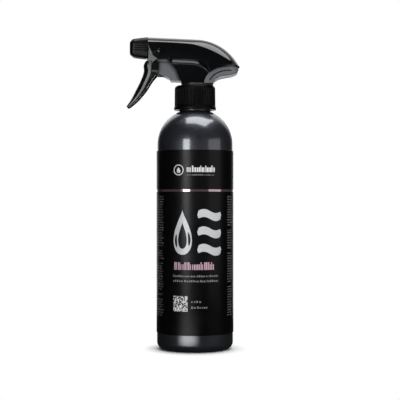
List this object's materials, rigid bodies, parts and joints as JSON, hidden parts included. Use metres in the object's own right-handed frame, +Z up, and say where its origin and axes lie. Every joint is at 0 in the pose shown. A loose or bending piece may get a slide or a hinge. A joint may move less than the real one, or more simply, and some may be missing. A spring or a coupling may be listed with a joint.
{
  "type": "trigger spray bottle",
  "caption": "Round plastic bottle with a wrap label and a trigger spray head on a ribbed screw closure, for spraying clay lubricant onto car paint.",
  "frame": {"origin": "centre of the bottle's round footprint, on the plane it stands on", "axes": "+Z up the bottle's axis, -X the way the nozzle points, -Y the way the front of the label faces"},
  "size_m": [0.0941, 0.064, 0.2589],
  "materials": {
    "bottle": "pearl charcoal blow-moulded plastic, glossy",
    "label": "satin black film",
    "closure": "satin black moulded plastic",
    "gasket": "white elastomer",
    "retainer": "natural moulded plastic",
    "dip_tube": "natural extruded plastic tube",
    "ball": "polished steel ball",
    "pump_body": "grey moulded plastic",
    "piston": "natural moulded plastic",
    "spring": "drawn stainless wire",
    "nozzle": "satin black moulded plastic",
    "insert": "black moulded plastic",
    "trigger": "glossy black moulded plastic",
    "shroud": "glossy black moulded plastic"
  },
  "bodies": {
    "bottle": {"bottle": "bottle", "label": "label"},
    "sprayer": {"pump_body": "pump_body", "shroud": "shroud", "tube_retainer": "retainer", "dip_tube": "dip_tube", "intake_strainer": "retainer", "neck_gasket": "gasket", "return_spring": "spring", "outlet_spring": "spring", "swirl_core": "piston", "nozzle_seal": "gasket"},
    "closure": {"closure": "closure"},
    "trigger": {"trigger": "trigger"},
    "piston": {"piston": "piston", "piston_seal": "gasket"},
    "nozzle": {"nozzle_cap": "nozzle", "orifice_insert": "insert"},
    "inlet_ball": {"inlet_ball": "ball"},
    "outlet_valve": {"outlet_valve": "piston"}
  },
  "joints": [
    {"name": "sprayer_lift", "type": "slide", "parent": "bottle", "child": "sprayer", "axis": [0, 0, 1], "range_m": [0, 0.00529]},
    {"name": "closure_turn", "type": "hinge", "parent": "sprayer", "child": "closure", "pos_m": [0, 0, 0.2], "axis": [0, 0, 1], "range_deg": [0, 450]},
    {"name": "trigger_pull", "type": "hinge", "parent": "sprayer", "child": "trigger", "pos_m": [-0.0306, 0, 0.2456], "axis": [0, -1, 0], "range_deg": [0, 26], "stiffness_Nm_per_rad": 0.15},
    {"name": "piston_slide", "type": "slide", "parent": "sprayer", "child": "piston", "axis": [1, 0, 0], "range_m": [0, 0.0056], "deforming": ["return_spring"]},
    {"name": "nozzle_turn", "type": "hinge", "parent": "sprayer", "child": "nozzle", "pos_m": [-0.045, 0, 0.2499], "axis": [1, 0, 0], "continuous": true},
    {"name": "inlet_ball_lift", "type": "slide", "parent": "sprayer", "child": "inlet_ball", "axis": [0, 0, 1], "range_m": [0, 0.0012]},
    {"name": "outlet_valve_lift", "type": "slide", "parent": "sprayer", "child": "outlet_valve", "axis": [-1, 0, 0], "range_m": [0, 0.0006], "deforming": ["outlet_spring"]}
  ],
  "couplings": [
    {"joint": "closure_turn", "follows": "sprayer_lift", "rad_per_m": 1484.3},
    {"joint": "piston_slide", "follows": "trigger_pull", "m_per_rad": 0.012314}
  ]
}
